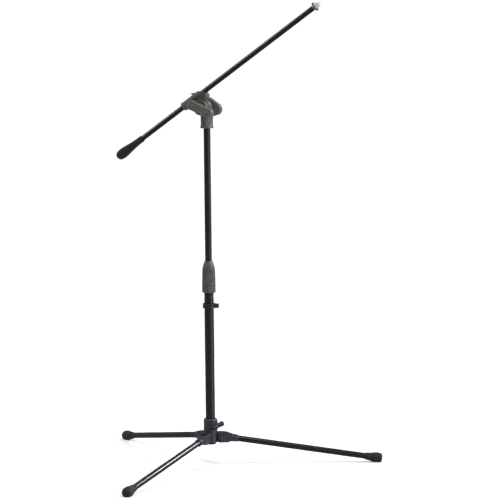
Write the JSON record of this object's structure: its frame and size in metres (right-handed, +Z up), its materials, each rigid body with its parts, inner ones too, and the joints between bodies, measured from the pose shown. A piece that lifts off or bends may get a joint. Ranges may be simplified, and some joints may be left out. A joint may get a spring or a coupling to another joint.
{
  "type": "boom microphone stand",
  "caption": "Free-standing microphone stand with a folding tripod base, a telescopic mast with a twist clutch, and a sliding, tilting boom that ends in a threaded stud.",
  "frame": {"origin": "bottom centre of the bounding box, on the floor; the mast axis stands 112 mm towards -X and 7 mm towards +Y of it", "axes": "+Z up along the mast; +X along the right-hand leg, to within 2 degrees; +Y away from the side that carries the tilt handle"},
  "size_m": [0.7526, 0.8508, 1.3133],
  "materials": {
    "tube_black": "satin black powder coat",
    "moulding_dark": "fine-grained charcoal moulding",
    "rubber_dark": "matt moulded rubber",
    "nylon_dark": "smooth nylon",
    "steel_dark": "black zinc",
    "steel_bright": "bright zinc"
  },
  "bodies": {
    "mast_lower": {"lower_tube": "tube_black", "mast_plug": "moulding_dark", "height_clutch_body": "moulding_dark", "height_clutch_collet": "nylon_dark"},
    "clutch_grip": {"height_clutch_grip": "moulding_dark"},
    "cable_clip": {"cable_clip": "moulding_dark"},
    "mast_bush": {"guide_bush": "nylon_dark"},
    "mast_upper": {"upper_tube": "tube_black", "swivel_head": "moulding_dark", "clutch_bolt": "steel_dark", "friction_washer": "rubber_dark"},
    "tripod_hub": {"hub": "moulding_dark"},
    "hub_screw": {"hub_screw": "steel_dark", "hub_screw_knob": "moulding_dark"},
    "leg_right": {"leg_bracket_right": "moulding_dark", "leg_pin_right": "steel_dark", "leg_tube_right": "tube_black", "leg_foot_right": "rubber_dark"},
    "leg_back": {"leg_bracket_back": "moulding_dark", "leg_pin_back": "steel_dark", "leg_tube_back": "tube_black", "leg_foot_back": "rubber_dark"},
    "leg_front": {"leg_bracket_front": "moulding_dark", "leg_pin_front": "steel_dark", "leg_tube_front": "tube_black", "leg_foot_front": "rubber_dark"},
    "boom_clamp": {"boom_clamp_far": "moulding_dark", "boom_clamp_near": "moulding_dark", "clutch_washer": "steel_bright"},
    "boom_liner": {"boom_liner": "nylon_dark"},
    "boom": {"boom_tube": "tube_black", "boom_grip": "rubber_dark", "tip_stud": "steel_bright"},
    "tilt_handle": {"tilt_handle": "moulding_dark"},
    "tip_ring": {"tip_ring": "moulding_dark"}
  },
  "joints": [
    {"name": "hub_slide", "type": "slide", "parent": "mast_lower", "child": "tripod_hub", "axis": [0, 0, 1], "range_m": [0, 0.3]},
    {"name": "leg_fold_right", "type": "hinge", "parent": "tripod_hub", "child": "leg_right", "pos_m": [-0.08571, 0.00773, 0.0722], "axis": [-0.0297, 0.9996, 0], "range_deg": [0, 80]},
    {"name": "leg_fold_back", "type": "hinge", "parent": "tripod_hub", "child": "leg_back", "pos_m": [-0.12536, 0.02908, 0.0722], "axis": [-0.8508, -0.5255, 0], "range_deg": [0, 80]},
    {"name": "leg_fold_front", "type": "hinge", "parent": "tripod_hub", "child": "leg_front", "pos_m": [-0.12402, -0.01593, 0.0722], "axis": [0.8805, -0.4741, 0], "range_deg": [0, 80]},
    {"name": "hub_screw_turn", "type": "hinge", "parent": "tripod_hub", "child": "hub_screw", "pos_m": [-0.1117, 0.00696, 0.118], "axis": [0.5255, -0.8508, 0], "continuous": true},
    {"name": "height_clutch_turn", "type": "hinge", "parent": "mast_lower", "child": "clutch_grip", "pos_m": [-0.1117, 0.00696, 0.54], "axis": [0, 0, 1], "range_deg": [0, 180]},
    {"name": "cable_clip_turn", "type": "hinge", "parent": "mast_lower", "child": "cable_clip", "pos_m": [-0.1117, 0.00696, 0.4565], "axis": [0, 0, 1], "continuous": true},
    {"name": "mast_slide", "type": "slide", "parent": "mast_lower", "child": "mast_bush", "axis": [0, 0, 1], "range_m": [-0.28, 0.07]},
    {"name": "mast_turn", "type": "hinge", "parent": "mast_bush", "child": "mast_upper", "pos_m": [-0.1117, 0.00696, 0.6], "axis": [0, 0, 1], "continuous": true},
    {"name": "boom_tilt", "type": "hinge", "parent": "mast_upper", "child": "boom_clamp", "pos_m": [-0.1117, 0.00696, 1.017], "axis": [-0.4226, -0.9063, 0], "range_deg": [-125, 50]},
    {"name": "tilt_handle_turn", "type": "hinge", "parent": "boom_clamp", "child": "tilt_handle", "pos_m": [-0.1117, 0.00696, 1.017], "axis": [-0.4226, -0.9063, 0], "continuous": true},
    {"name": "boom_roll", "type": "hinge", "parent": "boom_clamp", "child": "boom_liner", "pos_m": [-0.143, -0.01596, 1.04359], "axis": [0.7415, -0.3458, 0.575], "continuous": true},
    {"name": "boom_slide", "type": "slide", "parent": "boom_liner", "child": "boom", "axis": [0.7415, -0.3458, 0.575], "range_m": [-0.38, 0.15]},
    {"name": "tip_ring_turn", "type": "hinge", "parent": "boom", "child": "tip_ring", "pos_m": [0.19734, -0.17466, 1.30752], "axis": [0.7415, -0.3458, 0.575], "continuous": true}
  ]
}
